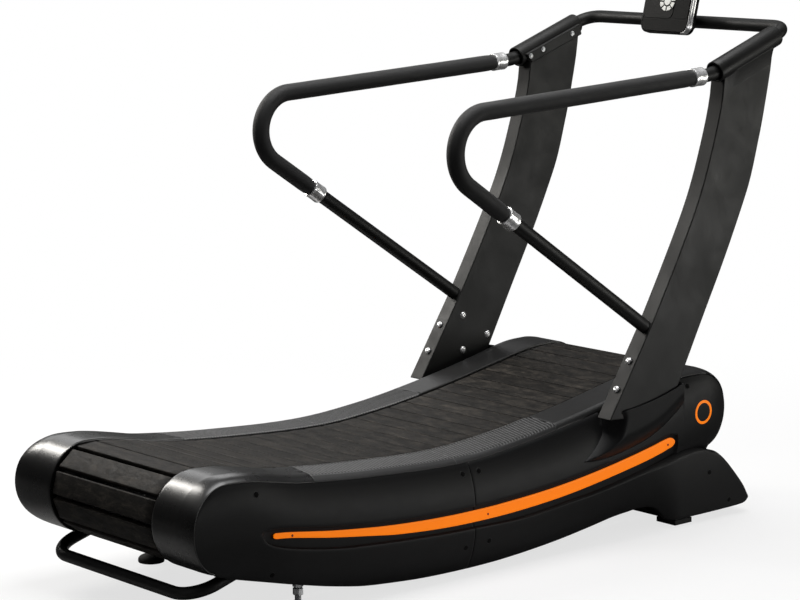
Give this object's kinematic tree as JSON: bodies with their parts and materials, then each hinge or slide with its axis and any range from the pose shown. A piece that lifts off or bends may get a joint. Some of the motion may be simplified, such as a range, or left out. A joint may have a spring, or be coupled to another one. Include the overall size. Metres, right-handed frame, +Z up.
{
  "type": "curved manual treadmill",
  "caption": "Self-powered treadmill: a concave slat belt over hidden drums, moulded side covers, leaning uprights, looped handrails with foam grips, crossbar and tilting console.",
  "frame": {"origin": "centre of the bounding box at floor level", "axes": "+X to the runner's right, +Y the running direction towards the console, +Z up"},
  "size_m": [0.84, 2.1192, 1.559],
  "materials": {
    "side_plastic": "moulded near-black, fine grain",
    "cap_plastic": "satin dark grey, smooth",
    "rail_tread": "dark grey, fine anti-slip ribs",
    "strip_plastic": "satin orange",
    "slat_rubber": "worn dark rubber with fine ribs",
    "frame_paint": "black powder coat, satin",
    "drum_steel": "turned steel",
    "zinc": "zinc plated",
    "bright": "polished chrome",
    "foam": "closed-cell foam sleeve, matte",
    "pad_rubber": "black rubber",
    "console_plastic": "fine-grained black",
    "trim_metal": "silver band",
    "display": "dark window",
    "button_plastic": "light grey"
  },
  "bodies": {
    "machine": {"side_cover_rear_left": "side_plastic", "side_cover_rear_right": "side_plastic", "side_cover_front_left": "side_plastic", "side_cover_front_right": "side_plastic", "front_skirt_left": "side_plastic", "front_skirt_right": "side_plastic", "front_end_cap_left": "side_plastic", "front_end_cap_right": "side_plastic", "rear_end_cap_left": "cap_plastic", "rear_end_cap_right": "cap_plastic", "front_deck_cover_left": "cap_plastic", "front_deck_cover_right": "cap_plastic", "foot_rail_rear_left": "rail_tread", "foot_rail_rear_right": "rail_tread", "foot_rail_front_left": "rail_tread", "foot_rail_front_right": "rail_tread", "side_strip_left": "strip_plastic", "side_strip_right": "strip_plastic", "slat_belt": "slat_rubber", "base_frame": "frame_paint", "front_crossbeam": "frame_paint", "rear_handle": "frame_paint", "crossbar": "frame_paint", "upright_left": "frame_paint", "upright_right": "frame_paint", "sleeve_left": "frame_paint", "sleeve_right": "frame_paint", "handrail_left": "frame_paint", "handrail_right": "frame_paint", "roller_track_left": "drum_steel", "roller_track_right": "drum_steel", "rear_bearing_left": "drum_steel", "rear_bearing_right": "drum_steel", "front_bearing_left": "drum_steel", "front_bearing_right": "drum_steel", "foot_locknut_left": "zinc", "foot_locknut_right": "zinc", "upper_collar_left": "bright", "upper_collar_right": "bright", "lower_collar_left": "bright", "lower_collar_right": "bright", "upright_bolts_left": "bright", "upright_bolts_right": "bright", "grip_left": "foam", "grip_right": "foam", "floor_pad_left": "pad_rubber", "floor_pad_right": "pad_rubber"},
    "front_drum": {"front_drum": "drum_steel"},
    "rear_drum": {"rear_drum": "drum_steel"},
    "wheel_left": {"transport_wheel_left": "pad_rubber"},
    "wheel_right": {"transport_wheel_right": "pad_rubber"},
    "foot_left": {"levelling_foot_left": "zinc"},
    "foot_right": {"levelling_foot_right": "zinc"},
    "console": {"console_back": "console_plastic", "console_trim": "trim_metal", "console_face": "console_plastic", "console_display": "display", "console_clamp": "frame_paint"},
    "ring_button": {"ring_button": "button_plastic"},
    "centre_button": {"centre_button": "button_plastic"}
  },
  "joints": [
    {"name": "front_drum_spin", "type": "hinge", "parent": "machine", "child": "front_drum", "pos_m": [0, 0.7231, 0.316], "axis": [1, 0, 0], "continuous": true},
    {"name": "rear_drum_spin", "type": "hinge", "parent": "machine", "child": "rear_drum", "pos_m": [0, -0.9389, 0.263], "axis": [1, 0, 0], "continuous": true},
    {"name": "wheel_spin_left", "type": "hinge", "parent": "machine", "child": "wheel_left", "pos_m": [-0.3, 0.8551, 0.044], "axis": [1, 0, 0], "continuous": true},
    {"name": "wheel_spin_right", "type": "hinge", "parent": "machine", "child": "wheel_right", "pos_m": [0.3, 0.8551, 0.044], "axis": [1, 0, 0], "continuous": true},
    {"name": "foot_adjust_left", "type": "slide", "parent": "machine", "child": "foot_left", "axis": [0, 0, 1], "range_m": [-0.012, 0], "stiffness_N_per_m": 60000},
    {"name": "foot_adjust_right", "type": "slide", "parent": "machine", "child": "foot_right", "axis": [0, 0, 1], "range_m": [-0.012, 0], "stiffness_N_per_m": 60000},
    {"name": "console_tilt", "type": "hinge", "parent": "machine", "child": "console", "pos_m": [0, 1.0351, 1.376], "axis": [1, 0, 0], "range_deg": [-8, 8], "stiffness_Nm_per_rad": 40},
    {"name": "ring_button_press", "type": "slide", "parent": "console", "child": "ring_button", "axis": [0, 0.9703, -0.2419], "range_m": [0, 0.0015], "stiffness_N_per_m": 800},
    {"name": "centre_button_press", "type": "slide", "parent": "console", "child": "centre_button", "axis": [0, 0.9703, -0.2419], "range_m": [0, 0.0015], "stiffness_N_per_m": 800}
  ],
  "couplings": [
    {"joint": "rear_drum_spin", "follows": "front_drum_spin", "ratio": 1}
  ]
}
